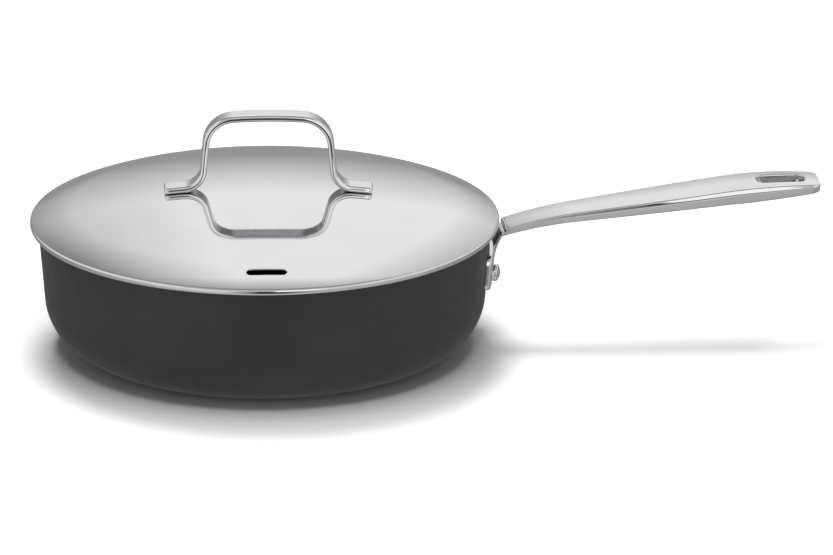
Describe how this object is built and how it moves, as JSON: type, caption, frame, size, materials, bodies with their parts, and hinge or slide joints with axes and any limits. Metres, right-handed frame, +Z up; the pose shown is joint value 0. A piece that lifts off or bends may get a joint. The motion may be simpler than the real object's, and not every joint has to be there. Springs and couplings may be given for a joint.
{
  "type": "frying pan",
  "caption": "Deep straight-sided frying pan with a riveted, gently arched long handle and a domed mirror-polished lid that lifts off by a strap handle.",
  "frame": {"origin": "middle of the base plate's underside, where the pan stands", "axes": "+Z up out of the pan, +X from the middle of the pan along its long handle, +Y to the left when looking from the pan along the handle"},
  "size_m": [0.5016, 0.2964, 0.1528],
  "materials": {
    "anodised_aluminium": "hard-anodised, dark charcoal, fine satin",
    "nonstick_coating": "smooth non-stick coating, near black, half gloss",
    "brushed_base_steel": "brushed in circles",
    "polished_cast_steel": "polished cast stainless steel",
    "rivet_steel": "polished stainless steel",
    "mirror_sheet_steel": "mirror-polished stainless sheet",
    "mirror_strap_steel": "mirror-polished stainless strap"
  },
  "bodies": {
    "pan": {"pan_body": "anodised_aluminium", "nonstick_lining": "nonstick_coating", "base_plate": "brushed_base_steel", "handle": "polished_cast_steel", "rivet_left": "rivet_steel", "rivet_right": "rivet_steel"},
    "lid": {"lid_shell": "mirror_sheet_steel", "lid_handle": "mirror_strap_steel"}
  },
  "joints": [
    {"name": "lid_lift", "type": "slide", "parent": "pan", "child": "lid", "axis": [0, 0, 1], "range_m": [0, 0.15]}
  ]
}
